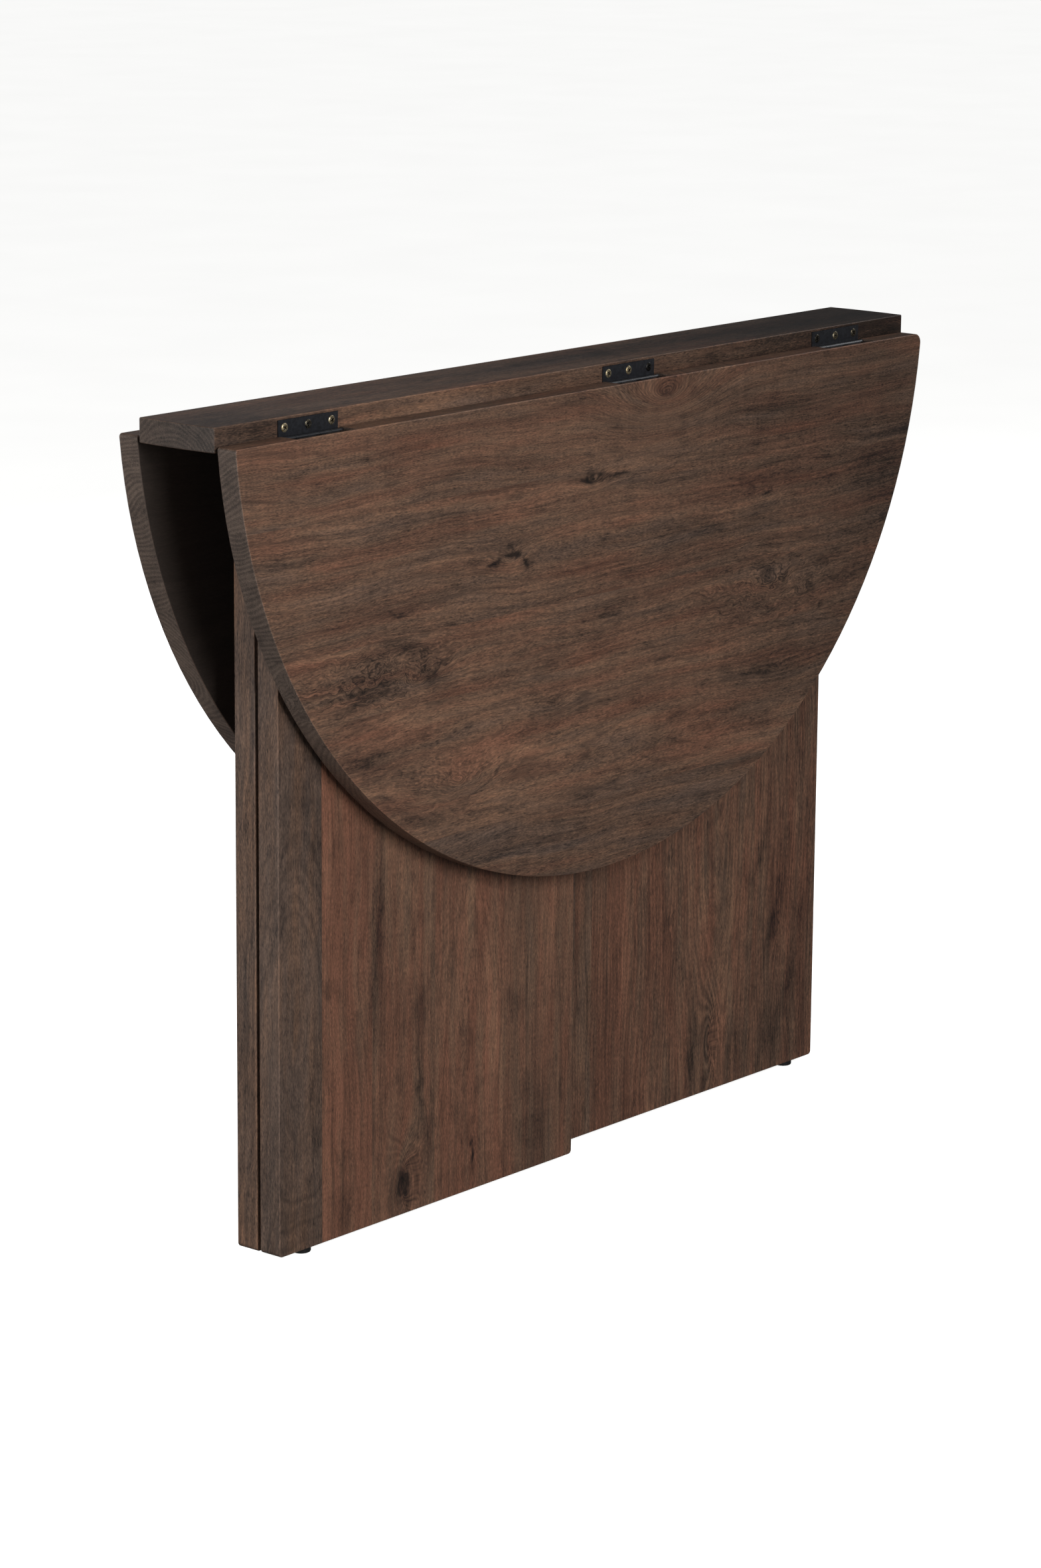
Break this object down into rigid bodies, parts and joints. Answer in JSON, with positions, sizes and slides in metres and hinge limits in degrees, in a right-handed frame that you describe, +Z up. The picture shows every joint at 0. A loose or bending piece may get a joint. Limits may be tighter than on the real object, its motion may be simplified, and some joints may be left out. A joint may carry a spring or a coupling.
{
  "type": "gateleg table",
  "caption": "Round drop-leaf gateleg table in dark stained wood, shown folded: a narrow fixed plank, hinged leaves hanging beside a slab base with swinging gates.",
  "frame": {"origin": "on the floor, under the middle of the base panel", "axes": "+X along the base panel and the fixed plank, +Y across the table to the far leaf, +Z up"},
  "size_m": [0.9998, 0.1374, 0.762],
  "materials": {
    "stained_wood_top": "dark walnut stain, satin lacquer",
    "stained_wood_base": "dark walnut stain, satin lacquer, reddish boards",
    "batten_wood": "same stain, unlacquered",
    "black_hinge_steel": "black paint, satin",
    "worn_screw_steel": "black finish worn to bare steel on the rims",
    "zinc_screw_steel": "zinc plated",
    "black_glide_plastic": "moulded black"
  },
  "bodies": {
    "base": {"centre_panel": "stained_wood_base", "top_plank": "stained_wood_top", "panel_dowels": "batten_wood", "cleat_plank_screws": "zinc_screw_steel", "cleat_panel_screws": "zinc_screw_steel", "plank_hinge_screws": "worn_screw_steel", "panel_hinge_screws": "worn_screw_steel", "panel_glide_left": "black_glide_plastic", "panel_glide_right": "black_glide_plastic", "panel_glide_nails": "zinc_screw_steel", "near_cleat": "batten_wood", "near_leaf_hinge_1_plank_plate": "black_hinge_steel", "near_leaf_hinge_1_pin": "black_hinge_steel", "near_leaf_hinge_2_plank_plate": "black_hinge_steel", "near_leaf_hinge_2_pin": "black_hinge_steel", "near_leaf_hinge_3_plank_plate": "black_hinge_steel", "near_leaf_hinge_3_pin": "black_hinge_steel", "near_gate_hinge_1_panel_plate": "black_hinge_steel", "near_gate_hinge_1_pin": "black_hinge_steel", "near_gate_hinge_2_panel_plate": "black_hinge_steel", "near_gate_hinge_2_pin": "black_hinge_steel", "far_cleat": "batten_wood", "far_leaf_hinge_1_plank_plate": "black_hinge_steel", "far_leaf_hinge_1_pin": "black_hinge_steel", "far_leaf_hinge_2_plank_plate": "black_hinge_steel", "far_leaf_hinge_2_pin": "black_hinge_steel", "far_leaf_hinge_3_plank_plate": "black_hinge_steel", "far_leaf_hinge_3_pin": "black_hinge_steel", "far_gate_hinge_1_panel_plate": "black_hinge_steel", "far_gate_hinge_1_pin": "black_hinge_steel", "far_gate_hinge_2_panel_plate": "black_hinge_steel", "far_gate_hinge_2_pin": "black_hinge_steel"},
    "near_leaf": {"near_leaf": "stained_wood_top", "near_leaf_stop": "batten_wood", "near_leaf_stop_screws": "zinc_screw_steel", "near_leaf_hinge_screws": "worn_screw_steel", "near_leaf_hinge_1_leaf_plate": "black_hinge_steel", "near_leaf_hinge_2_leaf_plate": "black_hinge_steel", "near_leaf_hinge_3_leaf_plate": "black_hinge_steel"},
    "far_leaf": {"far_leaf": "stained_wood_top", "far_leaf_stop": "batten_wood", "far_leaf_stop_screws": "zinc_screw_steel", "far_leaf_hinge_screws": "worn_screw_steel", "far_leaf_hinge_1_leaf_plate": "black_hinge_steel", "far_leaf_hinge_2_leaf_plate": "black_hinge_steel", "far_leaf_hinge_3_leaf_plate": "black_hinge_steel"},
    "near_gate": {"near_gate": "stained_wood_base", "near_gate_glide": "black_glide_plastic", "near_gate_glide_nail": "zinc_screw_steel", "near_gate_hinge_screws": "worn_screw_steel", "near_gate_hinge_1_gate_plate": "black_hinge_steel", "near_gate_hinge_2_gate_plate": "black_hinge_steel"},
    "far_gate": {"far_gate": "stained_wood_base", "far_gate_glide": "black_glide_plastic", "far_gate_glide_nail": "zinc_screw_steel", "far_gate_hinge_screws": "worn_screw_steel", "far_gate_hinge_1_gate_plate": "black_hinge_steel", "far_gate_hinge_2_gate_plate": "black_hinge_steel"}
  },
  "joints": [
    {"name": "near_leaf_lift", "type": "hinge", "parent": "base", "child": "near_leaf", "pos_m": [0, -0.049, 0.7423], "axis": [-1, 0, 0], "range_deg": [0, 90]},
    {"name": "far_leaf_lift", "type": "hinge", "parent": "base", "child": "far_leaf", "pos_m": [0, 0.049, 0.7423], "axis": [1, 0, 0], "range_deg": [0, 90]},
    {"name": "near_gate_swing", "type": "hinge", "parent": "base", "child": "near_gate", "pos_m": [-0.0028, -0.0152, 0.37], "axis": [0, 0, 1], "range_deg": [0, 0.8]},
    {"name": "far_gate_swing", "type": "hinge", "parent": "base", "child": "far_gate", "pos_m": [0.0028, 0.0152, 0.37], "axis": [0, 0, 1], "range_deg": [0, 0.8]}
  ]
}
